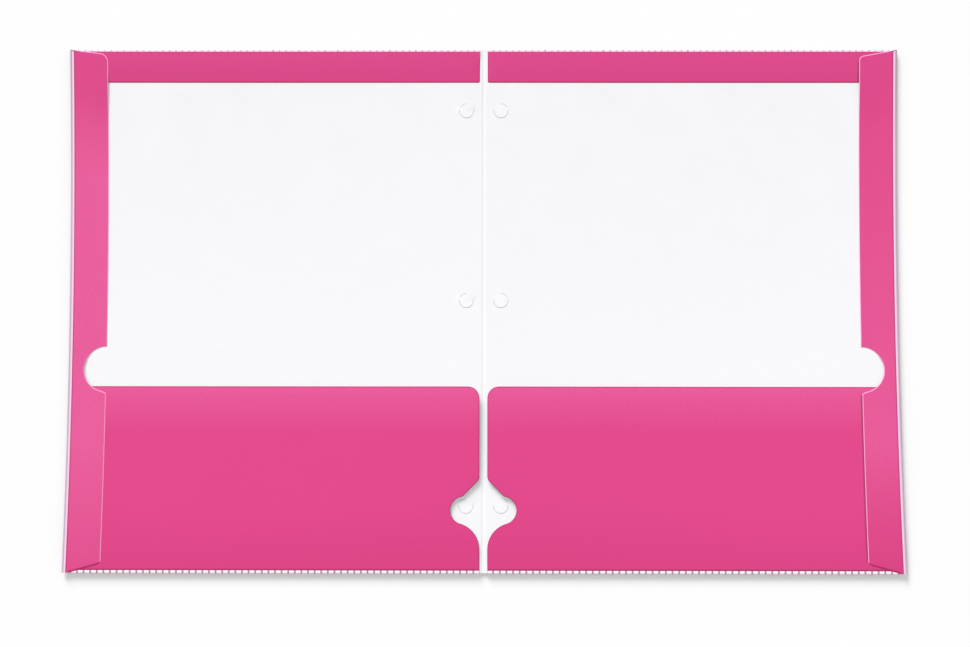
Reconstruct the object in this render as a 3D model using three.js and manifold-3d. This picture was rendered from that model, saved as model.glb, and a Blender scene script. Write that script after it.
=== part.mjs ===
// A pocket folder of laminated card, lying open with its inside up.
// Each cover is one die-cut sheet: a hem is folded down from its top edge, a pocket is folded up
// from its bottom edge, and a flap is folded in from its outer edge and glued over both.
// Millimetres. X runs across the spine, Y from the pockets to the hems, Z up. The origin is on
// the floor, under the middle of the spine.
import * as THREE from 'three';
import { mergeVertices } from 'three/addons/utils/BufferGeometryUtils.js';
import Module from 'manifold-3d';

const wasm = await Module();
wasm.setup();

// The card and the two covers
const COVER_WIDTH = 235;        // from the spine line to the outer fold
const COVER_HEIGHT = 295.5;     // from the bottom fold to the top fold
const CARD = 0.35;              // thickness of the card
const SLACK = 0.6;              // space between a cover and the ply folded onto it
const CUT = 0.3;                // width of a cut through the card

// The plies folded onto each cover
const POCKET_HEIGHT = 104;
const HEM_DEPTH = 19;
const FLAP_WIDTH = 21.5;
const SPINE_MARGIN = 2.25;      // from the spine line to the hem and the pocket
const CORNER_RELIEF = 4.5;      // from the outer fold to the start of the other two folds
const POCKET_CORNER = 6.5;      // radius of the pocket's corner beside the spine
const HEM_CORNER = 0.8;

// The flap's two slanted ends and its thumb notch
const FLAP_TOP_SLANT = 2.5;     // how far the end falls back across the flap
const FLAP_BOTTOM_SLANT = 5;
const FLAP_TOP_CORNER = 5;
const FLAP_BOTTOM_CORNER = 3;
const THUMB_RADIUS = 12.6;
const THUMB_HEIGHT = 113.6;     // from the bottom fold to the notch's centre

// The notch in the pocket's spine edge, clear of the lowest punch mark
const NOTCH_HEIGHT = 34.2;      // from the bottom fold to the centre of the notch's lobe
const NOTCH_REACH = 13;         // from the spine line to that centre
const LOBE_RADIUS = 4.9;
const NOTCH_SHOULDER = 5;       // radius where the notch leaves the edge above
const NOTCH_FOOT = 11.4;        // radius where it comes back to the edge below
const NOTCH_SLOPE = 47;         // degrees between its upper side and the edge

// The punch marks: each is a ring of two cuts, with card left between them that holds the disc
const MARK_RADIUS = 4;
const MARK_REACH = 9.8;         // from the spine line to a mark's centre
const MARK_HEIGHTS = [37.4, 152.4, 260.4];
const MARK_CUTS = [[270, 200], [60, 62]];  // each cut's middle and sweep, in degrees

// The score pressed beside the spine line
const SCORE_REACH = 1.25;
const SCORE_WIDTH = 0.3;
const SCORE_DEPTH = 0.12;

const BEND_STEPS = 10;          // facets round a fold
const ARC_STEPS = 12;           // facets round an arc of an outline
const OVERSHOOT = 1;            // how far a cutting tool runs past what it cuts

// Heights of the plies above the floor
const innerFloor = CARD + SLACK;
const innerTop = innerFloor + CARD;
const flapTop = innerTop + CARD;
const innerBend = innerTop / 2;
const flapBend = flapTop / 2;

const halfHeight = COVER_HEIGHT / 2;
const bendLine = halfHeight - innerBend;
const flapLine = COVER_WIDTH - flapBend;
const foldStart = SPINE_MARGIN;
const foldEnd = COVER_WIDTH - CORNER_RELIEF;
const flapEdge = COVER_WIDTH - FLAP_WIDTH;
const pocketTop = POCKET_HEIGHT - halfHeight;

const radians = THREE.MathUtils.degToRad;

function toSolid(geometry) {
  geometry.deleteAttribute('normal');
  geometry.deleteAttribute('uv');
  const merged = mergeVertices(geometry, 1e-5);
  return new wasm.Manifold(new wasm.Mesh({
    numProp: 3,
    vertProperties: new Float32Array(merged.attributes.position.array),
    triVerts: new Uint32Array(merged.index.array),
  }));
}

function toGeometry(solid) {
  const mesh = solid.getMesh();
  const geometry = new THREE.BufferGeometry();
  geometry.setAttribute('position', new THREE.BufferAttribute(mesh.vertProperties, 3));
  geometry.setIndex(new THREE.BufferAttribute(mesh.triVerts, 1));
  geometry.computeVertexNormals();
  return geometry;
}

// A flat ply: an outline in X and Y, as thick as the card unless told otherwise
function ply(outline, floor, thickness = CARD) {
  const geometry = new THREE.ExtrudeGeometry(outline, {
    depth: thickness,
    bevelEnabled: false,
    curveSegments: ARC_STEPS,
  });
  geometry.translate(0, 0, floor);
  return toSolid(geometry);
}

function rectangle(left, bottom, right, top) {
  const outline = new THREE.Shape();
  outline.moveTo(left, bottom);
  outline.lineTo(right, bottom);
  outline.lineTo(right, top);
  outline.lineTo(left, top);
  outline.closePath();
  return outline;
}

// An outline through corners [x, y, radius], each rounded by its own arc
function rounded(corners) {
  const outline = new THREE.Shape();
  const count = corners.length;
  corners.forEach(([x, y, radius], index) => {
    const here = new THREE.Vector2(x, y);
    const before = new THREE.Vector2(...corners[(index + count - 1) % count]);
    const after = new THREE.Vector2(...corners[(index + 1) % count]);
    const back = before.sub(here).normalize();
    const on = after.sub(here).normalize();
    const half = Math.acos(THREE.MathUtils.clamp(back.dot(on), -1, 1)) / 2;
    const start = here.clone().addScaledVector(back, radius / Math.tan(half));
    if (index === 0) {
      outline.moveTo(start.x, start.y);
    } else {
      outline.lineTo(start.x, start.y);
    }
    if (radius === 0) {
      return;
    }
    const inward = back.clone().add(on).normalize();
    const centre = here.clone().addScaledVector(inward, radius / Math.sin(half));
    const end = here.clone().addScaledVector(on, radius / Math.tan(half));
    const from = Math.atan2(start.y - centre.y, start.x - centre.x);
    const to = Math.atan2(end.y - centre.y, end.x - centre.x);
    const turnsRight = back.x * on.y - back.y * on.x > 0;
    outline.absarc(centre.x, centre.y, radius, from, to, turnsRight);
  });
  outline.closePath();
  return outline;
}

// Half a ring: the section of a fold, bulging along +X from a bend line at x = 0
function foldSection(radius) {
  const outline = new THREE.Shape();
  outline.absarc(0, radius, radius, -Math.PI / 2, Math.PI / 2, false);
  outline.lineTo(0, 2 * radius - CARD);
  outline.absarc(0, radius, radius - CARD, Math.PI / 2, -Math.PI / 2, true);
  outline.closePath();
  return outline;
}

// A fold: the section swept along its bend line, then turned into place
function fold(radius, length, turn, place) {
  const geometry = new THREE.ExtrudeGeometry(foldSection(radius), {
    depth: length,
    bevelEnabled: false,
    curveSegments: BEND_STEPS,
  });
  geometry.rotateX(Math.PI / 2);
  geometry.rotateZ(turn);
  geometry.translate(...place);
  return toSolid(geometry);
}

// The cover itself: its edges step in where the hem and the pocket are folded over
function coverPly() {
  const corner = halfHeight - CUT;
  const outline = new THREE.Shape();
  outline.moveTo(CUT / 2, -corner);
  outline.lineTo(foldStart - CUT, -corner);
  outline.lineTo(foldStart - CUT, -bendLine);
  outline.lineTo(foldEnd + CUT, -bendLine);
  outline.lineTo(foldEnd + CUT, -corner);
  outline.lineTo(flapLine, -corner);
  outline.lineTo(flapLine, corner);
  outline.lineTo(foldEnd + CUT, corner);
  outline.lineTo(foldEnd + CUT, bendLine);
  outline.lineTo(foldStart - CUT, bendLine);
  outline.lineTo(foldStart - CUT, corner);
  outline.lineTo(CUT / 2, corner);
  outline.closePath();
  return ply(outline, 0);
}

function pocketPly() {
  return ply(rounded([
    [foldStart, -bendLine, 0],
    [foldEnd, -bendLine, 0],
    [foldEnd, pocketTop, 0],
    [foldStart, pocketTop, POCKET_CORNER],
  ]), innerFloor);
}

function hemPly() {
  return ply(rounded([
    [foldStart, halfHeight - HEM_DEPTH, HEM_CORNER],
    [foldEnd, halfHeight - HEM_DEPTH, 0],
    [foldEnd, bendLine, 0],
    [foldStart, bendLine, 0],
  ]), innerFloor);
}

function flapPly() {
  const end = halfHeight - CUT;
  return ply(rounded([
    [flapEdge, -end + FLAP_BOTTOM_SLANT, FLAP_BOTTOM_CORNER],
    [flapLine, -end, 0],
    [flapLine, end, 0],
    [flapEdge, end - FLAP_TOP_SLANT, FLAP_TOP_CORNER],
  ]), innerTop);
}

function thumbNotch() {
  const depth = CARD + OVERSHOOT;
  const geometry = new THREE.CylinderGeometry(THUMB_RADIUS, THUMB_RADIUS, depth, 4 * ARC_STEPS);
  geometry.rotateX(Math.PI / 2);
  geometry.translate(flapEdge, THUMB_HEIGHT - halfHeight, innerTop + depth / 2);
  return toSolid(geometry);
}

// The notch runs in from the spine edge on a slope, round a lobe and back along a hollow curve
function pocketNotch() {
  const lobeY = NOTCH_HEIGHT - halfHeight;
  const slope = radians(NOTCH_SLOPE);
  const acrossSlope = new THREE.Vector2(Math.cos(slope), Math.sin(slope));
  const lobeTop = new THREE.Vector2(NOTCH_REACH, lobeY).addScaledVector(acrossSlope, LOBE_RADIUS);
  const shoulderX = foldStart + NOTCH_SHOULDER;
  const shoulderEndX = shoulderX - NOTCH_SHOULDER * acrossSlope.x;
  const slopeRun = lobeTop.x - shoulderEndX;
  const shoulderY = lobeTop.y + slopeRun / Math.tan(slope) + NOTCH_SHOULDER * acrossSlope.y;
  const footX = foldStart + NOTCH_FOOT;
  const apart = NOTCH_REACH - footX;
  const footY = lobeY - Math.sqrt((LOBE_RADIUS + NOTCH_FOOT) ** 2 - apart ** 2);
  const footTurn = Math.atan2(lobeY - footY, apart);
  const outline = new THREE.Shape();
  outline.moveTo(-OVERSHOOT, shoulderY);
  outline.lineTo(-OVERSHOOT, footY);
  outline.lineTo(foldStart, footY);
  outline.absarc(footX, footY, NOTCH_FOOT, Math.PI, footTurn, true);
  outline.absarc(NOTCH_REACH, lobeY, LOBE_RADIUS, footTurn - Math.PI, slope, false);
  outline.absarc(shoulderX, shoulderY, NOTCH_SHOULDER, Math.PI + slope, Math.PI, true);
  outline.closePath();
  return ply(outline, innerFloor - SLACK / 2, CARD + SLACK);
}

// One cut of a punch mark: a thin arc with square ends
function markCut(markY, middle, sweep) {
  const from = radians(middle - sweep / 2);
  const to = radians(middle + sweep / 2);
  const outline = new THREE.Shape();
  outline.absarc(MARK_REACH, markY, MARK_RADIUS + CUT / 2, from, to, false);
  outline.absarc(MARK_REACH, markY, MARK_RADIUS - CUT / 2, to, from, true);
  outline.closePath();
  return ply(outline, -OVERSHOOT / 2, CARD + OVERSHOOT / 2 + SLACK / 2);
}

function markCuts() {
  const cuts = [];
  for (const height of MARK_HEIGHTS) {
    for (const [middle, sweep] of MARK_CUTS) {
      cuts.push(markCut(height - halfHeight, middle, sweep));
    }
  }
  return cuts;
}

function score() {
  const groove = rectangle(
    SCORE_REACH - SCORE_WIDTH / 2, -halfHeight - OVERSHOOT,
    SCORE_REACH + SCORE_WIDTH / 2, halfHeight + OVERSHOOT,
  );
  return ply(groove, CARD - SCORE_DEPTH, SCORE_DEPTH + SLACK / 2);
}

// One cover with everything folded onto it, on the +X side of the spine
function coverSolid() {
  const foldLength = foldEnd - foldStart;
  const bottomFold = fold(innerBend, foldLength, -Math.PI / 2, [foldEnd, -bendLine, 0]);
  const topFold = fold(innerBend, foldLength, Math.PI / 2, [foldStart, bendLine, 0]);
  const sideLength = 2 * (halfHeight - CUT);
  const sideFold = fold(flapBend, sideLength, 0, [flapLine, sideLength / 2, 0]);
  let sheet = coverPly();
  for (const piece of [bottomFold, pocketPly().subtract(pocketNotch()), topFold, hemPly()]) {
    sheet = sheet.add(piece);
  }
  sheet = sheet.add(sideFold).add(flapPly().subtract(thumbNotch()));
  for (const cutter of [score(), ...markCuts()]) {
    sheet = sheet.subtract(cutter);
  }
  return sheet;
}

function coverMesh(name, solid) {
  const card = new THREE.MeshStandardMaterial({
    color: 0xe2488a,
    roughness: 0.42,
    metalness: 0,
  });
  const mesh = new THREE.Mesh(toGeometry(solid), card);
  mesh.name = name;
  return mesh;
}

const cover = coverSolid();
const folder = new THREE.Group();
folder.add(coverMesh('right_cover', cover));
folder.add(coverMesh('left_cover', cover.mirror([1, 0, 0])));

export default folder;
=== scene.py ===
import math

import bmesh
import bpy
import numpy as np
from mathutils import Matrix, Vector
from mathutils.geometry import area_tri, delaunay_2d_cdt, intersect_point_line


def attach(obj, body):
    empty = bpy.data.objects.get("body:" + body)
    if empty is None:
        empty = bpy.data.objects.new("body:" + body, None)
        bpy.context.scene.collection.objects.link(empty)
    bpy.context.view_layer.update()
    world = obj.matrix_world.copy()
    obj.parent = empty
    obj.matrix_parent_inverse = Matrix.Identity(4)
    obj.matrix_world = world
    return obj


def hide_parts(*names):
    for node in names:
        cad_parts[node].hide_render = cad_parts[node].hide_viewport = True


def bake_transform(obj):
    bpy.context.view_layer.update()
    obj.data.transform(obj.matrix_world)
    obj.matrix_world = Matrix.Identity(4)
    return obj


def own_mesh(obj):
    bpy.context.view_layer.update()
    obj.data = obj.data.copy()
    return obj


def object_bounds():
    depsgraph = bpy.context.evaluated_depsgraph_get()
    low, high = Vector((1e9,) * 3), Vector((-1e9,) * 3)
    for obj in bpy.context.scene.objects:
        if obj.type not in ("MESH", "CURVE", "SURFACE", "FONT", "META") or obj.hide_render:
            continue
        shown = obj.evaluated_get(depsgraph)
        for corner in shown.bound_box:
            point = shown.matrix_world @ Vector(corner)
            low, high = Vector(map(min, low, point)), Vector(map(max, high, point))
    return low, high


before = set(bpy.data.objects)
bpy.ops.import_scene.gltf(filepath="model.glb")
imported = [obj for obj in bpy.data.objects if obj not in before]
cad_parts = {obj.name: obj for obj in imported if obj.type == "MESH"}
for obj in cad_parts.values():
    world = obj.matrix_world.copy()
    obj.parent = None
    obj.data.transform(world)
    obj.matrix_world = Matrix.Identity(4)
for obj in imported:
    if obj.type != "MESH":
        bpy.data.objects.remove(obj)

cad_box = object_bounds()
high = cad_box[1]

MM = 0.001
PAST = 1 * MM                   # a step that is safely past an edge
TOUCH = 1e-6                    # points closer than this are one point

# The folded card, in metres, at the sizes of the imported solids
COVER_WIDTH = high.x
HALF_HEIGHT = high.y
STACK = high.z
CARD = 0.35 * MM
SLACK = STACK - 3 * CARD        # the space between a cover and the ply folded onto it
CUT = 0.3 * MM
SPINE_MARGIN = 2.25 * MM        # from the spine line to the hem and the pocket
CORNER_RELIEF = 4.5 * MM        # from the outer fold to the start of the other two folds

POCKET_HEIGHT = 104 * MM
POCKET_CORNER = 6.5 * MM
HEM_DEPTH = 19 * MM
HEM_CORNER = 0.8 * MM
FLAP_WIDTH = 21.5 * MM
FLAP_TOP_SLANTS = {"left": 2.5 * MM, "right": 3.8 * MM}
FLAP_TOP_CORNERS = {"left": 5 * MM, "right": 2.8 * MM}
FLAP_BOTTOM_SLANT = 5 * MM
FLAP_BOTTOM_CORNER = 3 * MM
FLAP_FOOT = 3 * MM              # the straight stretch beside the fold at the flap's lower end
THUMB_RADIUS = 12.6 * MM
THUMB_Y = -HALF_HEIGHT + 113.6 * MM
THUMB_CORNER = 2.6 * MM         # how far round the thumb notch its rounded lower corner begins
THUMB_CORNER_RADIUS = 0.45 * THUMB_CORNER

# The pocket's notch, drawn a little closer to the photograph than the solids' notch
LOBE_Y = -HALF_HEIGHT + 35.1 * MM
LOBE_REACH = 10.8 * MM
LOBE_RADIUS = 7.7 * MM
LOBE_END = math.radians(84)
LOBE_CORNER = 1.3 * MM
NOTCH_SHOULDER = 4 * MM
NOTCH_FOOT = 14.5 * MM
NOTCH_SLOPE = math.radians(45)

MARK_RADIUS = 4 * MM
MARK_REACH = 9.8 * MM
MARK_YS = [-HALF_HEIGHT + height * MM for height in (37.4, 152.4, 260.4)]
MARK_CUTS = [(270, 200), (60, 62)]      # each cut's middle and sweep, in degrees
MARK_CUT = 0.13 * MM

# Where the outside's print ends, measured in from each fold
WRAP_BOTTOM = 1.75 * MM
WRAP_TOP = 1.3 * MM
WRAP_SIDE = 2.2 * MM

# Bend lines, the middle surface's radius in each fold, and the sheet's length round it
INNER_BEND = (2 * CARD + SLACK) / 2
FLAP_BEND = STACK / 2
BEND_Y = HALF_HEIGHT - INNER_BEND
BEND_X = COVER_WIDTH - FLAP_BEND
INNER_RADIUS = INNER_BEND - CARD / 2
FLAP_RADIUS = FLAP_BEND - CARD / 2
INNER_ARC = math.pi * INNER_RADIUS
FLAP_ARC = math.pi * FLAP_RADIUS
FOLD_END = COVER_WIDTH - CORNER_RELIEF
CORNER_Y = HALF_HEIGHT - CUT
SEAM = SPINE_MARGIN - CUT

# Meshing
GRID = 6 * MM
CLEAR_OF_EDGE = GRID / 3        # a grid point closer to the outline than this is left out
LEAST_HEIGHT = 0.001 * MM       # a triangle lower than this is only rounding
MERGE = 1e-7
BEND_STEPS = 8
ARC_STEP = math.radians(9)
SPINE_COLUMNS = 32
SPINE_ROWS = 98

# Small departures of real card from flat
SAG = 1.0 * MM                  # how far a cover's middle hangs below its edges
RIPPLE = 0.12 * MM              # the height of the ripple on that, and its waves in radians a metre
RIPPLE_ACROSS = 31
RIPPLE_ALONG = 23
RIPPLE_SLANTED = (17, 41)
RIPPLE_SHIFTS = (0.7, 0.4)
SLANTED_SHARE = 0.5
POCKET_LIFT = 2.0 * MM          # how far a pocket bows up beside the spine
SIDE_NARROWING = 0.0092         # how much narrower a cover is halfway up, as a share
SIDE_BOW = 0.0092               # how much wider again it is at its ends, as a share
SIDE_LEAN = 0.45 * MM           # how far out of square the covers' sides are folded
DISC_LIFT = 0.18 * MM           # how far a punch mark's disc stands proud
EDGE_BEVEL = 0.42 * MM          # how far the print is set back from a flap's cut edge
LIP_BEVEL = 0.36 * MM           # the same on the hem, the pocket and the flap's lower end
LOWER_END = 0.3                 # an edge whose inside faces up more than this is a lower end
EDGE_CRUSH = 0.13 * MM          # how much thinner the card is at a die-cut edge

# How the free lips of the flap and the hem are pressed down onto the cover
OUTER_PLY = 1.2 * CARD          # a point this near the floor or the top is in the outermost ply
FLAP_PRESS = 0.97               # the share of the space below the flap that it gives up
FLAP_LIP_START = 3 * MM         # from the outer fold
FLAP_LIP_RUN = 12 * MM
BELOW_HEM_RUN = 25 * MM         # the flap comes down over these lengths past the hem and the pocket
ABOVE_POCKET_RUN = 22 * MM
HEM_PRESS = 0.95
HEM_LIP_START = 3 * MM          # above the hem's edge
HEM_END_RUN = 15 * MM           # over this length the hem comes up again towards its outer end
HEM_END_SHARE = 0.8             # the share of that length that lies under the flap

# The valley pressed along the spine
VALLEY_DEPTH = 0.3 * MM
VALLEY_LEFT = -1.15 * MM
VALLEY_FLOOR = -0.45 * MM
VALLEY_RIGHT = 1.8 * MM

FLOOR_DROP = 1.5 * MM           # how far the floor lies below the covers' edges

# Stripes printed on the outside, parallel to the spine
STRIPE_PITCH = 3.68 * MM
STRIPE_SHARE = 0.27


def srgb(red, green, blue):
    """A colour given in 0 to 255 as a screen shows it, as the linear colour that a shader takes."""
    def linear(value):
        value /= 255
        return value / 12.92 if value <= 0.04045 else ((value + 0.055) / 1.055) ** 2.4
    return (linear(red), linear(green), linear(blue), 1.0)


# Outlines, on the right cover, as lists of points

def arc(centre, radius, start, end):
    """Points on an arc between two angles."""
    steps = max(3, math.ceil(abs(end - start) / ARC_STEP))
    angles = [start + (end - start) * step / steps for step in range(steps + 1)]
    return [(centre[0] + radius * math.cos(a), centre[1] + radius * math.sin(a)) for a in angles]


def rounded_corner(before, here, after, radius):
    """The arc that rounds the corner at here."""
    corner = Vector(here)
    back = (Vector(before) - corner).normalized()
    on = (Vector(after) - corner).normalized()
    half = back.angle(on) / 2
    centre = corner + (back + on).normalized() * radius / math.sin(half)
    start = corner + back * radius / math.tan(half) - centre
    end = corner + on * radius / math.tan(half) - centre
    first = math.atan2(start.y, start.x)
    turn = math.atan2(end.y, end.x) - first
    turn = (turn + math.pi) % (2 * math.pi) - math.pi
    return arc(centre, radius, first, first + turn)


def pocket_edge():
    """The pocket's free edges on the ply, from the bottom fold up the spine side and along the top."""
    top = -HALF_HEIGHT + POCKET_HEIGHT
    foot_x = SPINE_MARGIN + NOTCH_FOOT
    apart = LOBE_REACH - foot_x
    foot_y = LOBE_Y - math.sqrt((LOBE_RADIUS + NOTCH_FOOT) ** 2 - apart ** 2)
    foot_turn = math.atan2(LOBE_Y - foot_y, apart)
    lobe = arc((LOBE_REACH, LOBE_Y), LOBE_RADIUS, foot_turn - math.pi, LOBE_END)
    shoulder_x = SPINE_MARGIN + NOTCH_SHOULDER
    run = lobe[-1][0] - (shoulder_x - NOTCH_SHOULDER * math.cos(NOTCH_SLOPE))
    shoulder_y = lobe[-1][1] + run / math.tan(NOTCH_SLOPE) + NOTCH_SHOULDER * math.sin(NOTCH_SLOPE)
    shoulder = arc((shoulder_x, shoulder_y), NOTCH_SHOULDER, math.pi + NOTCH_SLOPE, math.pi)
    spine_corner = (SPINE_MARGIN, top)
    outer_corner = (FOLD_END, top)
    points = [(SPINE_MARGIN, -BEND_Y)]
    points += arc((foot_x, foot_y), NOTCH_FOOT, math.pi, foot_turn)
    points += lobe[1:-2]
    points += rounded_corner(lobe[-2], lobe[-1], shoulder[0], LOBE_CORNER)
    points += shoulder
    points += rounded_corner((SPINE_MARGIN, shoulder_y), spine_corner, outer_corner, POCKET_CORNER)
    points += [outer_corner, (FOLD_END, -BEND_Y)]
    return points


def flap_edge(body):
    """The flap's free edges on the ply, from the side fold's bottom end round to its top end."""
    edge = COVER_WIDTH - FLAP_WIDTH
    bottom = (BEND_X, -CORNER_Y)
    foot = (BEND_X - FLAP_FOOT, -CORNER_Y)
    bottom_corner = (edge, -CORNER_Y + FLAP_BOTTOM_SLANT)
    top = (BEND_X, CORNER_Y)
    top_corner = (edge, CORNER_Y - FLAP_TOP_SLANTS[body])
    notch_start = -math.pi / 2 + THUMB_CORNER / THUMB_RADIUS
    notch = arc((edge, THUMB_Y), THUMB_RADIUS, notch_start, math.pi / 2)
    low_notch = (edge, notch[0][1] - PAST)
    points = [bottom, foot]
    points += rounded_corner(foot, bottom_corner, low_notch, FLAP_BOTTOM_CORNER)
    points += rounded_corner(bottom_corner, low_notch, notch[0], THUMB_CORNER_RADIUS)
    points += notch
    points += rounded_corner(notch[-1], top_corner, top, FLAP_TOP_CORNERS[body])
    points += [top]
    return points


def hem_edge():
    """The hem's free edges on the ply, from the top fold down and back along its lower edge."""
    lower = HALF_HEIGHT - HEM_DEPTH
    outer_corner = (FOLD_END, lower)
    spine_corner = (SPINE_MARGIN, lower)
    spine_end = (SPINE_MARGIN, BEND_Y)
    points = [(FOLD_END, BEND_Y), outer_corner]
    points += rounded_corner(outer_corner, spine_corner, spine_end, HEM_CORNER)
    points += [spine_end]
    return points


def unfolded_y(points, side):
    """Points of a ply folded over the bottom (side -1) or top (side 1) edge, laid flat again."""
    return [(x, side * (2 * BEND_Y + INNER_ARC) - y) for x, y in points]


def unfolded_x(points):
    """Points of the flap's ply, laid flat again beside the outer edge."""
    return [(2 * BEND_X + FLAP_ARC - x, y) for x, y in points]


def blank_outline(body):
    """The die-cut sheet of one cover, flat, counter-clockwise from the spine's bottom end."""
    points = [(SEAM, -BEND_Y)]
    points += unfolded_y(pocket_edge(), -1)
    points[1] = (SPINE_MARGIN, -BEND_Y)
    points += [(FOLD_END, -BEND_Y), (FOLD_END + CUT, -BEND_Y), (FOLD_END + CUT, -CORNER_Y)]
    points += [(BEND_X, -CORNER_Y)] + unfolded_x(flap_edge(body)) + [(BEND_X, CORNER_Y)]
    points += [(FOLD_END + CUT, CORNER_Y), (FOLD_END + CUT, BEND_Y), (FOLD_END, BEND_Y)]
    points += unfolded_y(hem_edge(), 1)
    points += [(SPINE_MARGIN, BEND_Y), (SEAM, BEND_Y)]
    return tidy_loop(points)


def tidy_loop(points):
    """Drops points that repeat the one before."""
    kept = []
    for point in points:
        if not kept or math.dist(point, kept[-1]) > TOUCH:
            kept.append(point)
    if math.dist(kept[0], kept[-1]) < TOUCH:
        kept.pop()
    return kept


def mark_outlines():
    """The thin cuts of the punch marks."""
    outlines = []
    for mark_y in MARK_YS:
        for middle, sweep in MARK_CUTS:
            start = math.radians(middle - sweep / 2)
            end = math.radians(middle + sweep / 2)
            outer = arc((MARK_REACH, mark_y), MARK_RADIUS + MARK_CUT / 2, start, end)
            inner = arc((MARK_REACH, mark_y), MARK_RADIUS - MARK_CUT / 2, end, start)
            outlines.append(outer + inner)
    return outlines


def fold_rules():
    """Lines across the sheet that its folds and the end of the outside's print run along."""
    inner_reaches = [INNER_ARC * step / BEND_STEPS for step in range(BEND_STEPS + 1)]
    flap_reaches = [FLAP_ARC * step / BEND_STEPS for step in range(BEND_STEPS + 1)]
    rules = []
    for side, wrap in ((-1, WRAP_BOTTOM), (1, WRAP_TOP)):
        for reach in inner_reaches + [INNER_ARC + wrap - INNER_BEND]:
            y = side * (BEND_Y + reach)
            rules.append([(SPINE_MARGIN, y), (FOLD_END, y)])
    for reach in flap_reaches + [FLAP_ARC + WRAP_SIDE - FLAP_BEND]:
        rules.append([(BEND_X + reach, -HALF_HEIGHT), (BEND_X + reach, HALF_HEIGHT)])
    return rules


def inside(points, loop):
    """Which of the points lie inside a closed loop."""
    points = np.asarray(points)
    result = np.zeros(len(points), bool)
    for (x1, y1), (x2, y2) in zip(loop, loop[1:] + loop[:1]):
        if y1 == y2:
            continue
        spans = (points[:, 1] > min(y1, y2)) & (points[:, 1] <= max(y1, y2))
        crossing = x1 + (points[:, 1] - y1) * (x2 - x1) / (y2 - y1)
        result ^= spans & (points[:, 0] < crossing)
    return result


def subdivided(line):
    """A straight rule with a point every grid step."""
    (x1, y1), (x2, y2) = line
    steps = math.ceil(math.dist(*line) / GRID)
    return [(x1 + (x2 - x1) * i / steps, y1 + (y2 - y1) * i / steps) for i in range(steps + 1)]


def finely(loop):
    """A closed loop with no stretch longer than the grid step."""
    return [point for line in zip(loop, loop[1:] + loop[:1]) for point in subdivided(line)[:-1]]


def distance_to(loop, spot):
    """The distance from a spot to the nearest stretch of a closed loop."""
    nearest = math.inf
    for start, end in zip(loop, loop[1:] + loop[:1]):
        share = intersect_point_line(spot, Vector(start), Vector(end))[1]
        closest = Vector(start).lerp(Vector(end), min(1, max(0, share)))
        nearest = min(nearest, (closest - spot).length)
    return nearest


def is_sliver(corners):
    """Whether a triangle is as flat as a straight edge's rounding, so that it isn't card."""
    a, b, c = corners
    longest = max((b - a).length, (c - b).length, (a - c).length)
    return 2 * area_tri(a, b, c) < longest * LEAST_HEIGHT


def triangulate(outline, holes, rules):
    """Triangles that fill an outline round its holes, with edges along the rules."""
    points, edges = [], []

    def add_line(line, closed):
        first = len(points)
        points.extend(line)
        edges.extend((first + i, first + i + 1) for i in range(len(line) - 1))
        if closed:
            edges.append((len(points) - 1, first))

    add_line(finely(outline), True)
    for hole in holes:
        add_line(hole, True)
    for rule in rules:
        add_line(subdivided(rule), False)
    xs = [x for x, y in outline]
    ys = [y for x, y in outline]
    columns = int((max(xs) - min(xs)) / GRID)
    rows = int((max(ys) - min(ys)) / GRID)
    for column in range(columns):
        for row in range(rows):
            spot = Vector((min(xs) + (column + 0.5) * GRID, min(ys) + (row + 0.5) * GRID))
            if distance_to(outline, spot) > CLEAR_OF_EDGE:
                points.append(spot)
    result = delaunay_2d_cdt([Vector(p) for p in points], edges, [], 0, MERGE)
    flat, faces = result[0], result[2]
    centres = [tuple(sum((flat[i] for i in face), Vector((0, 0))) / 3) for face in faces]
    keep = inside(centres, outline)
    for hole in holes:
        keep &= ~inside(centres, hole)
    faces = [face for face, kept in zip(faces, keep) if kept]
    return flat, [face for face in faces if not is_sliver([flat[i] for i in face])]


# The fold: a flat point of the sheet to its place and its white side's normal

def fold_over(reach, radius, arc_length):
    """How far on and up a point lies that is reach past a bend line, and its turn."""
    if reach <= 0:
        return reach, 0.0, 0.0
    if reach < arc_length:
        turn = reach / radius
        return radius * math.sin(turn), radius * (1 - math.cos(turn)), turn
    return arc_length - reach, 2 * radius, math.pi


def folded(u, v):
    """The place of a flat point in the folded sheet's middle, and its white side's normal."""
    base = CARD / 2
    if u > BEND_X:
        on, up, turn = fold_over(u - BEND_X, FLAP_RADIUS, FLAP_ARC)
        return Vector((BEND_X + on, v, base + up)), Vector((-math.sin(turn), 0, math.cos(turn)))
    side = math.copysign(1, v)
    on, up, turn = fold_over(abs(v) - BEND_Y, INNER_RADIUS, INNER_ARC)
    normal = Vector((0, -side * math.sin(turn), math.cos(turn)))
    return Vector((u, side * (BEND_Y + on), base + up)), normal


def waviness(x, y):
    """How far the card hangs below flat: most in a cover's middle, and nothing at its edges."""
    across = max(0, 1 - (2 * abs(x) / COVER_WIDTH - 1) ** 2)
    along = max(0, 1 - (y / HALF_HEIGHT) ** 2)
    ripple = math.sin(x * RIPPLE_ACROSS + RIPPLE_SHIFTS[0])
    ripple *= math.sin(y * RIPPLE_ALONG - RIPPLE_SHIFTS[1])
    ripple += SLANTED_SHARE * math.sin(x * RIPPLE_SLANTED[0] - y * RIPPLE_SLANTED[1])
    return -across * along * (SAG + RIPPLE * ripple)


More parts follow.
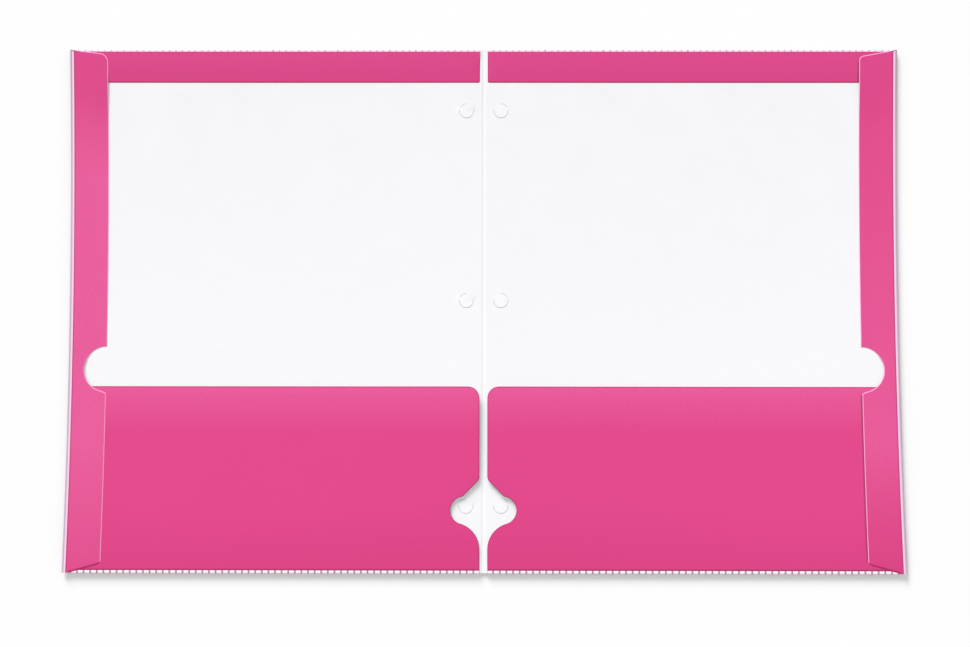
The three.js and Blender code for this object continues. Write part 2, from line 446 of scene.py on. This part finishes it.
def settled(place, x_side):
    """A folded point as real card lies: slightly hollow sides, gentle sag, a slack pocket."""
    along = place.y / HALF_HEIGHT
    x = x_side * place.x * (1 - SIDE_NARROWING + SIDE_BOW * along ** 2)
    x -= SIDE_LEAN * along * place.x / COVER_WIDTH
    z = place.z + waviness(x, place.y) - pressed(place)
    if place.z < CARD + SLACK / 2:
        z += disc_lift(place)
    elif place.y < -HALF_HEIGHT + POCKET_HEIGHT + PAST:
        z += pocket_lift(place)
    return Vector((x, place.y, z))


def pressed(place):
    """How far the hem's lip and the flap's lip drop to the cover, past what lies under them."""
    lower = HALF_HEIGHT - HEM_DEPTH
    top = -HALF_HEIGHT + POCKET_HEIGHT
    if place.z > STACK - OUTER_PLY:
        inward = smooth((COVER_WIDTH - FLAP_LIP_START - place.x) / FLAP_LIP_RUN)
        below_hem = smooth((lower - place.y) / BELOW_HEM_RUN)
        above_pocket = smooth((place.y - top) / ABOVE_POCKET_RUN)
        return (SLACK + CARD) * FLAP_PRESS * inward * below_hem * above_pocket
    if place.z > OUTER_PLY and place.y > 0:
        near_lip = smooth((BEND_Y - place.y) / (HEM_DEPTH - HEM_LIP_START))
        clear = smooth((COVER_WIDTH - FLAP_WIDTH - place.x) / HEM_END_RUN + HEM_END_SHARE)
        return SLACK * HEM_PRESS * near_lip * clear
    return 0.0


def smooth(share):
    """An even step from 0 to 1."""
    share = min(1, max(0, share))
    return share * share * (3 - 2 * share)


def pocket_lift(place):
    """A pocket bows up: nothing at its fold and under the flap, most at its free corner."""
    across = (place.x - SPINE_MARGIN) / (COVER_WIDTH - FLAP_WIDTH - SPINE_MARGIN)
    rise = (place.y + BEND_Y) / POCKET_HEIGHT
    if across >= 1 or rise <= 0:
        return 0.0
    return POCKET_LIFT * (1 - across ** 2) ** 2 * math.sin(rise * math.pi / 2)


def disc_lift(place):
    """The punch marks' discs stand a little proud at their free lower edge."""
    for mark_y in MARK_YS:
        if math.dist((place.x, place.y), (MARK_REACH, mark_y)) < MARK_RADIUS:
            return DISC_LIFT * max(0, (mark_y + MARK_RADIUS - place.y) / (2 * MARK_RADIUS))
    return 0.0


def bevel_shift(flat, directed):
    """How far the print is set back from the cut edges of flap, hem and pocket, as a die leaves it."""
    shifts = {}
    for a, b in directed:
        if (b, a) in directed or not (on_free_ply(flat[a]) and on_free_ply(flat[b])):
            continue
        along = (flat[b] - flat[a]).normalized()
        inward = Vector((-along.y, along.x))
        for corner in (a, b):
            shifts.setdefault(corner, []).append(inward)
    bevels = {}
    for corner, inwards in shifts.items():
        inward = sum(inwards, Vector((0, 0))).normalized()
        width = EDGE_BEVEL if on_flap(flat[corner]) and inward.y < LOWER_END else LIP_BEVEL
        bevels[corner] = inward * width
    return bevels


def on_flap(point):
    """Whether a flat point is in the flap, past its fold."""
    return point.x > BEND_X + FLAP_ARC + WRAP_SIDE


def on_free_ply(point):
    """Whether a flat point is in the flap, the hem or the pocket."""
    return on_flap(point) or abs(point.y) > BEND_Y + INNER_ARC + WRAP_BOTTOM + PAST


def is_pocket(points):
    """Whether a flat triangle is in the pocket, past its fold."""
    return min(point.y for point in points) < -BEND_Y - INNER_ARC - TOUCH


def build_sheet(name, x_side, materials, flat, triangles):
    """Part of a cover's folded sheet, with both faces and its cut edges."""
    directed = {(t[i], t[(i + 1) % 3]) for t in triangles for i in range(3)}
    shifts = bevel_shift(flat, directed)
    vertices = []
    for index, point in enumerate(flat):
        place, normal = folded(*point)
        vertices.append(settled(place + normal * CARD / 2, x_side))
        place, normal = folded(*(point + shifts.get(index, Vector((0, 0)))))
        thinned = EDGE_CRUSH if index in shifts else 0
        vertices.append(settled(place - normal * (CARD / 2 - thinned), x_side))
    faces, kinds, layouts = [], [], []

    def add(face, kind, corners):
        if x_side < 0:
            face, corners = face[::-1], corners[::-1]
        faces.append(face)
        kinds.append(kind)
        layouts.append([(x_side * flat[i][0], flat[i][1]) for i in corners])

    for triangle in triangles:
        a, b, c = triangle
        add([2 * a, 2 * b, 2 * c], "white", [a, b, c])
        middle = (flat[a] + flat[b] + flat[c]) / 3
        add([2 * a + 1, 2 * c + 1, 2 * b + 1], "pink" if is_pink(*middle) else "striped", [a, c, b])
    for a, b in sorted(directed):
        if (b, a) in directed:
            continue
        # Flap edges take a painted highlight, the other pink edges painted shade, and the rest the
        # card's core
        if on_flap(flat[a]) and flat[a].y > -HALF_HEIGHT + FLAP_BOTTOM_SLANT + PAST:
            kind = "edge"
        elif is_pink(*flat[a]):
            kind = "lip"
        else:
            kind = "core"
        add([2 * a + 1, 2 * b + 1, 2 * b, 2 * a], kind, [a, b, b, a])
    return make_mesh(name, vertices, faces, kinds, layouts, materials)


def is_pink(u, v):
    """Whether the print at a flat point is the pink one."""
    wrap_y = WRAP_TOP if v > 0 else WRAP_BOTTOM
    past_y = abs(v) > BEND_Y + INNER_ARC + wrap_y - INNER_BEND
    return past_y or u > BEND_X + FLAP_ARC + WRAP_SIDE - FLAP_BEND


def make_mesh(name, vertices, faces, kinds, layouts, materials):
    """A piece with a material for each kind of face, and the flat sheet as its layout."""
    mesh = bpy.data.meshes.new(name)
    mesh.from_pydata([tuple(v) for v in vertices], [], faces)
    names = list(materials)
    for kind in names:
        mesh.materials.append(materials[kind])
    layout = mesh.uv_layers.new(name="sheet")
    for polygon, kind, corners in zip(mesh.polygons, kinds, layouts):
        polygon.material_index = names.index(kind)
        polygon.use_smooth = kind not in ("core", "edge", "lip")
        for loop, corner in zip(polygon.loop_indices, corners):
            layout.data[loop].uv = corner
    mesh.validate()
    drop_loose_points(mesh)
    piece = bpy.data.objects.new(name, mesh)
    bpy.context.scene.collection.objects.link(piece)
    sharpen(piece)
    return piece


def drop_loose_points(mesh):
    """Deletes the points that no face uses."""
    shell = bmesh.new()
    shell.from_mesh(mesh)
    loose = [point for point in shell.verts if not point.link_faces]
    bmesh.ops.delete(shell, geom=loose, context="VERTS")
    shell.to_mesh(mesh)
    shell.free()


def sharpen(piece):
    """Keeps the cut edges crisp and the folds smooth."""
    mesh = piece.data
    kinds_at_edge = {}
    for polygon in mesh.polygons:
        for key in polygon.edge_keys:
            kinds_at_edge.setdefault(key, set()).add(polygon.use_smooth)
    for edge in mesh.edges:
        edge.use_edge_sharp = len(kinds_at_edge[edge.key]) > 1


def valley(x):
    """How far the sheet dips at the spine."""
    if x <= VALLEY_LEFT or x >= VALLEY_RIGHT:
        return 0.0
    if x < VALLEY_FLOOR:
        share = (x - VALLEY_LEFT) / (VALLEY_FLOOR - VALLEY_LEFT)
    else:
        share = (VALLEY_RIGHT - x) / (VALLEY_RIGHT - VALLEY_FLOOR)
    return -VALLEY_DEPTH * smooth(share)


def build_spine(name, materials):
    """The strip of card between the two covers' folds, creased along the spine."""
    columns, rows = SPINE_COLUMNS, SPINE_ROWS
    xs = [SEAM * (2 * i / columns - 1) for i in range(columns + 1)]
    ys = [CORNER_Y * (2 * j / rows - 1) for j in range(rows + 1)]
    vertices, flat = [], []
    for x in xs:
        for y in ys:
            flat.append((x, y))
            height = CARD / 2 + valley(x)
            side = 1 if x >= 0 else -1
            for half in (CARD / 2, -CARD / 2):
                vertices.append(settled(Vector((abs(x), y, height + half)), side))
    faces, kinds, layouts = [], [], []

    def add(corners, kind, indices):
        faces.append(indices)
        kinds.append(kind)
        layouts.append([flat[i] for i in corners])

    def at(i, j):
        return i * (rows + 1) + j

    for i in range(columns):
        for j in range(rows):
            a, b, c, d = at(i, j), at(i + 1, j), at(i + 1, j + 1), at(i, j + 1)
            add([a, b, c, d], "white", [2 * a, 2 * b, 2 * c, 2 * d])
            add([a, d, c, b], "striped", [2 * a + 1, 2 * d + 1, 2 * c + 1, 2 * b + 1])
    rim = [at(i, 0) for i in range(columns)] + [at(columns, j) for j in range(rows)]
    rim += [at(i, rows) for i in range(columns, 0, -1)] + [at(0, j) for j in range(rows, 0, -1)]
    for a, b in zip(rim, rim[1:] + rim[:1]):
        add([a, b, b, a], "core", [2 * a + 1, 2 * b + 1, 2 * b, 2 * a])
    return make_mesh(name, vertices, faces, kinds, layouts, materials)


# The colours of the board, its cuts and the print

# The inside's white: the first colour, darker near the top, is painted shade; the second is paler
# lower down
PAPER_WITH_PAINTED_SHADE = (srgb(243, 242, 244), srgb(249, 248, 250))
PAPER_CLOUD = srgb(249, 249, 251)
FIBRE = srgb(237, 236, 239)
CORE = (srgb(236, 233, 237), srgb(246, 244, 247))
# The flaps' cut edges: a painted highlight in light pink, also where an edge faces away from the lamp
FLAP_EDGE_HIGHLIGHT = (srgb(250, 152, 202), srgb(255, 178, 218))
# The cut edges of the hem, the pocket and the flap's lower end: painted shade in dark crimson
LIP_EDGE_SHADE = (srgb(170, 8, 84), srgb(190, 16, 98))

PINK = (srgb(221, 47, 128), srgb(225, 54, 134))
PINK_CLOUD = srgb(223, 52, 132)
# painted highlight on the flaps and at a pocket's upper edge
HIGHLIGHT_PINK = (srgb(228, 77, 146), srgb(233, 85, 153))
# painted shade near the bottom fold
BOTTOM_SHADE_PINK = srgb(208, 34, 116)
# painted shade over the hem and the top of the flaps
TOP_SHADE_PINK = srgb(216, 51, 129)
# painted shade along the flap's slanted lower end
SLANTED_END_SHADE_PINK = srgb(176, 0, 84)
# painted shade in thin lines at the folds, along the lips and beside the right flap
SHADE_LINE_PINK = srgb(142, 18, 78)

STRIPE_INK = (srgb(172, 122, 152), srgb(186, 138, 166))
STRIPE_PAPER = (srgb(253, 241, 250), srgb(255, 248, 253))
# painted shade: the outside's paper on the top fold, darker
TOP_PAPER_SHADE = srgb(240, 220, 234)
SIDE_PAPER = srgb(253, 208, 236)
# painted shade on the side fold's outer turn, grey-lilac, darker towards the top
SIDE_TURN_SHADE = (srgb(196, 172, 192), srgb(172, 152, 168))
# greyer at the side fold's top end
TOP_END_GREY = srgb(158, 148, 160)

# Noise, in cells a metre of sheet, and the parts of its range that carry a change
FIBRE_CELLS = 900
FIBRE_STRETCH = (1, 0.45, 1)
PAPER_CLOUD_CELLS = 45
GRAIN_CELLS = 1600
MOTTLE_CELLS = 700
INK_CLOUD_CELLS = 14
FILM_CELLS = 350
STRIPE_CELLS = 800
STRIPE_CLOUD_CELLS = 60
WEAR_CELLS = 330
SPREAD = (0.3, 0.7)
FIBRE_SPREAD = (0.35, 0.75)
WEAR_SPREAD = (0.35, 0.65)

# How far the pink's painted highlights and painted shade run along the sheet, and the share of the
# other pink at their ends
POCKET_HIGHLIGHT_FADE = 26 * MM              # below a pocket's upper edge
POCKET_HIGHLIGHT_SHARE = 0.8
BOTTOM_SHADE_FADE = 40 * MM             # above a pocket's fold
BOTTOM_SHADE_SHARE = 0.5
TOP_SHADE_FADE = 45 * MM              # below a hem's fold, on the flap
LEFT_FLAP_FADE = 75 * MM
FLAP_FADE_END = -0.6 * HALF_HEIGHT
FLAP_SHARES = (0.1, 0.9)
FLAP_FOOT_FADES = (70 * MM, 75 * MM)
FLAP_FOOT_SHARE = 0.4

# Dark lines of painted shade on the print, as distances from the edge or fold that they follow, and
# their strength
BOTTOM_SHADE_LINE = (1.2 * MM, 0.2 * MM, -0.1 * MM)
SIDE_SHADE_LINE = (0.9 * MM, 0.0, -0.1 * MM)
SIDE_SHADE_LINE_SHARE = 0.8
HEM_LIP = (0.7 * MM, 0.1 * MM)
HEM_LIP_SHARE = 0.45
POCKET_LIP = (0.7 * MM, 0.2 * MM)
POCKET_LIP_SHARE = 0.3
SLANTED_LIP = (1.0 * MM, 0.5 * MM)
SLANTED_LIP_SHARE = 0.9
# a painted shadow beside the right flap's inner edge
RIGHT_FLAP_SHADOW = (1.3 * MM, 0.5 * MM)
RIGHT_FLAP_SHADOW_SHARE = 0.75
RIGHT_FLAP_SHADOW_CORNER = (6 * MM, 9 * MM)         # how far from the fold it begins
RIGHT_FLAP_SHADOW_NOTCH = (100 * MM, 99 * MM)       # how far from the fold it ends, by the thumb notch

STRIPE_SOFTNESS = 0.03
SIDE_SHADE_PAST = 0.35 * MM
SIDE_SHADE_SOFTNESS = 0.25 * MM
SIDE_TURN_SHADE_RISE = (0.5 * HALF_HEIGHT, HALF_HEIGHT)
WEAR_SHARES = (0.25, 0.8)
TOP_END_GREY_RUN = (1.1 * MM, 0.5 * MM)
PAPER_PAINTED_SHADE_RUN = (120 * MM, -60 * MM)      # painted shade: the inside grows paler down this stretch
PAPER_CLOUD_SHARE = 0.4
FIBRE_SHARE = 0.25


# Materials, all painted on the flat sheet's own layout

class Paint:
    """A material with its nodes, built from left to right."""

    def __init__(self, name, roughness):
        self.material = bpy.data.materials.new(name)
        self.material.use_nodes = True
        self.tree = self.material.node_tree
        self.shader = self.tree.nodes["Principled BSDF"]
        self.shader.inputs["Roughness"].default_value = roughness
        self.layout = self.add("ShaderNodeUVMap", uv_map="sheet").outputs["UV"]

    def add(self, kind, **settings):
        """A new node of a kind, with its settings."""
        node = self.tree.nodes.new(kind)
        for key, value in settings.items():
            setattr(node, key, value)
        return node

    def link(self, source, target):
        """A link from an output to an input."""
        self.tree.links.new(source, target)

    def math(self, operation, *values):
        """The result of a sum on outputs and numbers."""
        node = self.add("ShaderNodeMath", operation=operation)
        for socket, value in zip(node.inputs, values):
            if isinstance(value, (int, float)):
                socket.default_value = value
            else:
                self.link(value, socket)
        return node.outputs[0]

    def noise(self, scale, detail=3.0, stretch=(1, 1, 1)):
        """Noise on the flat sheet, with its scale in cells a metre."""
        mapping = self.add("ShaderNodeMapping")
        mapping.inputs["Scale"].default_value = [scale * s for s in stretch]
        self.link(self.layout, mapping.inputs["Vector"])
        node = self.add("ShaderNodeTexNoise")
        node.inputs["Scale"].default_value = 1.0
        node.inputs["Detail"].default_value = detail
        self.link(mapping.outputs["Vector"], node.inputs["Vector"])
        return node.outputs["Fac"]

    def ramp(self, value, low_value, high_value, low_result=0.0, high_result=1.0):
        """A value that runs straight from one result to another."""
        node = self.add("ShaderNodeMapRange")
        for name, number in (("From Min", low_value), ("From Max", high_value),
                             ("To Min", low_result), ("To Max", high_result)):
            node.inputs[name].default_value = number
        self.link(value, node.inputs["Value"])
        return node.outputs["Result"]

    def mix(self, factor, first, second):
        """A colour between two colours."""
        node = self.add("ShaderNodeMix", data_type="RGBA")
        self.link(factor, node.inputs[0])
        for socket, value in ((node.inputs[6], first), (node.inputs[7], second)):
            if isinstance(value, tuple):
                socket.default_value = value
            else:
                self.link(value, socket)
        return node.outputs[2]

    def axes(self):
        """The place on the flat sheet: across from the spine, and along it."""
        split = self.add("ShaderNodeSeparateXYZ")
        self.link(self.layout, split.inputs["Vector"])
        return split.outputs["X"], split.outputs["Y"]

    def colour(self, value):
        """Sets the surface's colour."""
        self.link(value, self.shader.inputs["Base Color"])

    def bump(self, value, distance, strength=1.0):
        """Sets the surface's fine relief."""
        node = self.add("ShaderNodeBump")
        node.inputs["Distance"].default_value = distance
        node.inputs["Strength"].default_value = strength
        self.link(value, node.inputs["Height"])
        self.link(node.outputs["Normal"], self.shader.inputs["Normal"])


def white_paper():
    """The unprinted inside: smooth white board with a trace of fibre, and painted shade that makes it
    darker towards the top.
    """
    paint = Paint("white_inside_with_painted_shade", roughness=0.62)
    cloud = paint.noise(PAPER_CLOUD_CELLS, detail=2)
    fibre = paint.noise(FIBRE_CELLS, detail=4, stretch=FIBRE_STRETCH)
    across, along = paint.axes()
    # painted shade: darker towards the top
    base = paint.mix(paint.ramp(along, *PAPER_PAINTED_SHADE_RUN), *PAPER_WITH_PAINTED_SHADE)
    clouded = paint.ramp(cloud, *SPREAD, 0.0, PAPER_CLOUD_SHARE)
    base = paint.mix(clouded, base, PAPER_CLOUD)
    fibrous = paint.ramp(fibre, *FIBRE_SPREAD, 0.0, FIBRE_SHARE)
    paint.colour(paint.mix(fibrous, base, FIBRE))
    paint.bump(fibre, 0.02 * MM, 0.5)
    return paint.material


def cut_edge(name, dark, light):
    """A cut edge, speckled as torn fibres are: the card's own core, a painted highlight on the flaps'
    edges, and painted shade on the other pink edges.
    """
    paint = Paint(name, roughness=0.8)
    grain = paint.noise(GRAIN_CELLS, detail=3)
    paint.colour(paint.mix(paint.ramp(grain, *SPREAD), dark, light))
    return paint.material


def pink_print_with_painted_light():
    """Pink ink under a clear film, with painted highlights on the flaps and at a pocket's upper edge,
    and painted shade near the top and bottom, along folds and lips, and beside the right flap.
    """
    paint = Paint("pink_print_with_painted_light", roughness=0.4)
    across, along = paint.axes()
    reach = paint.math("ABSOLUTE", across)
    mottle = paint.ramp(paint.noise(MOTTLE_CELLS, detail=5), *SPREAD)
    cloud = paint.ramp(paint.noise(INK_CLOUD_CELLS, detail=2), *SPREAD)
    plain = paint.mix(mottle, *PINK)
    plain = paint.mix(cloud, plain, PINK_CLOUD)
    pocket_top = -(BEND_Y + INNER_ARC + POCKET_HEIGHT - INNER_BEND)
    # painted highlight at a pocket's upper edge, fading below it
    pocket_top_highlight = paint.ramp(along, pocket_top + POCKET_HIGHLIGHT_FADE, pocket_top, 0.0, POCKET_HIGHLIGHT_SHARE)
    # painted shade: darker towards the bottom fold
    bottom_shade = paint.ramp(along, -HALF_HEIGHT - BOTTOM_SHADE_FADE, -HALF_HEIGHT, 0.0, BOTTOM_SHADE_SHARE)
    highlight = paint.mix(mottle, *HIGHLIGHT_PINK)
    plain = paint.mix(bottom_shade, paint.mix(pocket_top_highlight, plain, highlight), BOTTOM_SHADE_PINK)
    # painted highlight on the flaps, stronger on the left flap and weaker at the flaps' ends
    on_flap = paint.math("GREATER_THAN", reach, BEND_X + FLAP_ARC)
    fade = paint.ramp(along, HALF_HEIGHT, HALF_HEIGHT - LEFT_FLAP_FADE)
    slow_fade = paint.ramp(along, HALF_HEIGHT, FLAP_FADE_END, *FLAP_SHARES)
    on_left = paint.math("LESS_THAN", across, 0.0)
    by_side = paint.math("MAXIMUM", slow_fade, paint.math("MULTIPLY", fade, on_left))
    foot = paint.ramp(along, -HALF_HEIGHT, -HALF_HEIGHT + FLAP_FOOT_FADES[0], FLAP_FOOT_SHARE)
    right_foot = paint.ramp(along, -HALF_HEIGHT, -HALF_HEIGHT + FLAP_FOOT_FADES[1])
    foot = paint.math("MULTIPLY", foot, paint.math("MAXIMUM", right_foot, on_left))
    flap_highlight = paint.math("MULTIPLY", paint.math("MULTIPLY", on_flap, by_side), foot)
    ink = paint.mix(flap_highlight, plain, highlight)
    # painted shade: darker towards the top
    ink = paint.mix(paint.ramp(along, HALF_HEIGHT - TOP_SHADE_FADE, HALF_HEIGHT), ink, TOP_SHADE_PINK)
    # painted shade in thin lines at folds, lips and beside the right flap
    shade_lines = paint.math("MAXIMUM", bottom_fold_shade(paint, along), side_fold_shade(paint, reach))
    shade_lines = paint.math("MAXIMUM", shade_lines, lips(paint, along))
    shade_lines = paint.math("MAXIMUM", shade_lines, shadow_by_right_flap(paint, across, along))
    # painted shade along the flap's slanted lower end
    ink = paint.mix(slanted_end_shade(paint, reach, along), ink, SLANTED_END_SHADE_PINK)
    paint.colour(paint.mix(shade_lines, ink, SHADE_LINE_PINK))
    paint.shader.inputs["Coat Weight"].default_value = 0.2
    paint.shader.inputs["Coat Roughness"].default_value = 0.3
    paint.bump(paint.noise(FILM_CELLS, detail=2), 0.01 * MM, 0.4)
    return paint.material


def bottom_fold_shade(paint, along):
    """Painted shade in a thin line where the pocket's print begins, above its fold."""
    start = -(BEND_Y + INNER_ARC + WRAP_BOTTOM - INNER_BEND)
    far, near, end = BOTTOM_SHADE_LINE
    band = paint.ramp(along, start - far, start - near)
    return paint.math("MULTIPLY", band, paint.math("LESS_THAN", along, start - end))


def side_fold_shade(paint, reach):
    """The same line of painted shade where the flap's print begins, beside its fold."""
    start = BEND_X + FLAP_ARC + WRAP_SIDE - FLAP_BEND
    far, near, end = SIDE_SHADE_LINE
    band = paint.ramp(reach, start + far, start + near, 0.0, SIDE_SHADE_LINE_SHARE)
    return paint.math("MULTIPLY", band, paint.math("GREATER_THAN", reach, start + end))


def lips(paint, along):
    """Painted shade along the hem's lower lip and the pocket's top lip, which makes their ink look
    deeper.
    """
    start = BEND_Y + INNER_ARC - INNER_BEND
    hem_lip = start + HEM_DEPTH
    pocket_lip = -start - POCKET_HEIGHT
    far, near = HEM_LIP
    on_hem = paint.ramp(along, hem_lip - far, hem_lip - near, 0.0, HEM_LIP_SHARE)
    far, near = POCKET_LIP
    on_pocket = paint.ramp(along, pocket_lip + far, pocket_lip + near, 0.0, POCKET_LIP_SHARE)
    return paint.math("ADD", on_hem, on_pocket)


def slanted_end_shade(paint, reach, along):
    """Painted shade in the same way along the flap's slanted lower end."""
    foot = BEND_X + FLAP_ARC + FLAP_FOOT
    free_edge = 2 * BEND_X + FLAP_ARC - COVER_WIDTH + FLAP_WIDTH
    slope = FLAP_BOTTOM_SLANT / (free_edge - foot)
    rise = paint.math("MULTIPLY", paint.math("SUBTRACT", reach, foot), slope)
    above = paint.math("SUBTRACT", along, rise)
    far, near = SLANTED_LIP
    band = paint.ramp(above, -CORNER_Y + far, -CORNER_Y + near, 0.0, SLANTED_LIP_SHARE)
    return paint.math("MULTIPLY", band, paint.math("GREATER_THAN", reach, foot))


def shadow_by_right_flap(paint, across, along):
    """A painted shadow on the hem and pocket, along the inner edge of the right flap."""
    edge = COVER_WIDTH - FLAP_WIDTH
    far, near = RIGHT_FLAP_SHADOW
    band = paint.ramp(across, edge - far, edge - near, 0.0, RIGHT_FLAP_SHADOW_SHARE)
    band = paint.math("MULTIPLY", band, paint.math("LESS_THAN", across, edge + PAST))
    folded_in = paint.math("SUBTRACT", paint.math("ABSOLUTE", along), HALF_HEIGHT)
    past_corner = paint.ramp(folded_in, *RIGHT_FLAP_SHADOW_CORNER)
    below_notch = paint.ramp(folded_in, *RIGHT_FLAP_SHADOW_NOTCH)
    return paint.math("MULTIPLY", band, paint.math("MULTIPLY", past_corner, below_notch))


def striped_print_with_painted_shade():
    """The outside: white with thin mauve-pink stripes parallel to the spine, under the film, with
    painted shade on the top and side folds.
    """
    paint = Paint("striped_print_with_painted_shade", roughness=0.38)
    across, along = paint.axes()
    phase = paint.math("FRACT", paint.math("DIVIDE", across, STRIPE_PITCH))
    beside = paint.math("ABSOLUTE", paint.math("SUBTRACT", phase, 0.5))
    half = STRIPE_SHARE / 2
    stripe = paint.ramp(beside, half + STRIPE_SOFTNESS, half - STRIPE_SOFTNESS)
    ink = paint.mix(paint.noise(STRIPE_CELLS, detail=4), *STRIPE_INK)
    paper = paint.mix(paint.noise(STRIPE_CLOUD_CELLS, detail=2), *STRIPE_PAPER)
    reach = paint.math("ABSOLUTE", across)
    # painted shade on the side fold, darker towards the top
    side_turn_shading = paint.mix(paint.ramp(along, *SIDE_TURN_SHADE_RISE), *SIDE_TURN_SHADE)
    worn = paint.ramp(paint.noise(WEAR_CELLS, detail=2), *WEAR_SPREAD, *WEAR_SHARES)
    on_top = paint.math("GREATER_THAN", along, BEND_Y)
    kept = paint.math("SUBTRACT", 1.0, paint.math("MULTIPLY", on_top, worn))
    stripe = paint.math("MULTIPLY", stripe, kept)
    # painted shade: the top fold's paper is darker
    paper = paint.mix(on_top, paper, TOP_PAPER_SHADE)
    side_paper = paint.mix(side_shade_band(paint, reach), SIDE_PAPER, side_turn_shading)
    # greyer at the top end of the side fold
    greyer_top = paint.ramp(along, CORNER_Y - TOP_END_GREY_RUN[0], CORNER_Y - TOP_END_GREY_RUN[1])
    side_paper = paint.mix(greyer_top, side_paper, TOP_END_GREY)
    on_side = paint.math("GREATER_THAN", reach, BEND_X)
    paint.colour(paint.mix(on_side, paint.mix(stripe, paper, ink), side_paper))
    paint.shader.inputs["Coat Weight"].default_value = 0.25
    paint.shader.inputs["Coat Roughness"].default_value = 0.28
    return paint.material


def side_shade_band(paint, reach):
    """The band of painted shade over the side fold, drawn like a stripe, which ends where the fold
    turns flat again.
    """
    end = BEND_X + FLAP_ARC + SIDE_SHADE_PAST
    return paint.ramp(reach, end - SIDE_SHADE_SOFTNESS, end + SIDE_SHADE_SOFTNESS, 1.0, 0.0)


def floor_white():
    """A plain pale floor that keeps the folder's shadow."""
    material = bpy.data.materials.new("floor_white")
    material.use_nodes = True
    shader = material.node_tree.nodes["Principled BSDF"]
    shader.inputs["Base Color"].default_value = (FLOOR_WHITE, FLOOR_WHITE, FLOOR_WHITE, 1)
    shader.inputs["Roughness"].default_value = 0.9
    shader.inputs["Specular IOR Level"].default_value = 0.0
    return material


# The object

def build_folder():
    """The two folded covers with their pockets, and the strip of card that joins them."""
    materials = {
        "white": white_paper(),
        "pink": pink_print_with_painted_light(),
        "striped": striped_print_with_painted_shade(),
        "core": cut_edge("cut_core", *CORE),
        # painted highlight on the flaps' cut edges, painted shade on the other pink cut edges
        "edge": cut_edge("flap_edge", *FLAP_EDGE_HIGHLIGHT),
        "lip": cut_edge("shaded_lip_edge", *LIP_EDGE_SHADE),
    }
    for body, x_side in (("left", -1), ("right", 1)):
        flat, triangles = triangulate(blank_outline(body), mark_outlines(), fold_rules())
        pocket = [t for t in triangles if is_pocket([flat[i] for i in t])]
        rest = [t for t in triangles if not is_pocket([flat[i] for i in t])]
        for part, kept in (("folded_sheet", rest), ("pocket", pocket)):
            piece = build_sheet(f"{body}_{part}", x_side, materials, flat, kept)
            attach(piece, body)
            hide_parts(body + "_cover")
            if part == "pocket":
                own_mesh(piece)
    spine = build_spine("spine_strip", materials)
    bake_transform(spine)


# The stage, the light and the camera

FLOOR_SIZE = 12.0
FLOOR_WHITE = 0.985
KEY_SOFTNESS = math.radians(28)
KEY_AZIMUTH = math.radians(110)
KEY_ELEVATION = math.radians(28)
KEY_STRENGTH = 2.55
WORLD_STRENGTH = 0.63

# The camera that was fitted to the photograph's outline
CAMERA_HEIGHT = 0.9
CAMERA_X = 5.33 * MM
CAMERA_Y = -71.75 * MM
CAMERA_TILT = math.radians(4.034)
CAMERA_LEAN = math.radians(0.282)
CAMERA_ROLL = math.radians(0.073)
FOCAL_PIXELS = 1605.1
PICTURE_WIDTH = 970
SENSOR_WIDTH = 36               # millimetres
FARTHEST = 50                   # metres that the camera sees


def build_stage():
    """The floor, just under the covers' sagging middles."""
    bpy.ops.mesh.primitive_plane_add(size=FLOOR_SIZE, location=(0, 0, -FLOOR_DROP))
    floor = bpy.context.object
    floor.name = "floor"
    floor.data.materials.append(floor_white())


def build_light():
    """One wide soft lamp, from beyond the folder's top edge."""
    lamp = bpy.data.lights.new("key", "SUN")
    lamp.angle = KEY_SOFTNESS
    lamp.energy = KEY_STRENGTH
    key = bpy.data.objects.new("key", lamp)
    bpy.context.scene.collection.objects.link(key)
    toward = Vector((
        math.cos(KEY_AZIMUTH) * math.cos(KEY_ELEVATION),
        math.sin(KEY_AZIMUTH) * math.cos(KEY_ELEVATION),
        math.sin(KEY_ELEVATION),
    ))
    key.location = toward
    key.rotation_euler = toward.to_track_quat("Z", "Y").to_euler()


def build_room():
    """An even pale room, which shows as white past the floor and in what reflects it."""
    world = bpy.data.worlds.new("soft_room")
    world.use_nodes = True
    nodes, links = world.node_tree.nodes, world.node_tree.links
    background = nodes["Background"]
    background.inputs["Color"].default_value = (1, 1, 1, 1)
    ray = nodes.new("ShaderNodeLightPath")
    seen = ray.outputs["Is Camera Ray"]
    for kind in ("Is Glossy Ray", "Is Transmission Ray"):
        either = nodes.new("ShaderNodeMath")
        either.operation = "MAXIMUM"
        links.new(seen, either.inputs[0])
        links.new(ray.outputs[kind], either.inputs[1])
        seen = either.outputs[0]
    strength = nodes.new("ShaderNodeMapRange")
    strength.inputs["To Min"].default_value = WORLD_STRENGTH
    strength.inputs["To Max"].default_value = 1.0
    links.new(seen, strength.inputs["Value"])
    links.new(strength.outputs["Result"], background.inputs["Strength"])
    bpy.context.scene.world = world


def build_camera():
    """A camera above the folder that looks almost straight down."""
    data = bpy.data.cameras.new("camera")
    data.sensor_width = SENSOR_WIDTH
    data.lens = SENSOR_WIDTH * FOCAL_PIXELS / PICTURE_WIDTH
    data.clip_end = FARTHEST
    camera = bpy.data.objects.new("camera", data)
    bpy.context.scene.collection.objects.link(camera)
    turn = (Matrix.Rotation(CAMERA_ROLL, 4, "Z")
            @ Matrix.Rotation(CAMERA_LEAN, 4, "Y")
            @ Matrix.Rotation(CAMERA_TILT, 4, "X"))
    camera.matrix_world = Matrix.Translation((CAMERA_X, CAMERA_Y, CAMERA_HEIGHT)) @ turn
    bpy.context.scene.camera = camera


build_folder()
build_stage()
build_light()
build_room()
build_camera()
bpy.context.scene.view_settings.view_transform = "Standard"
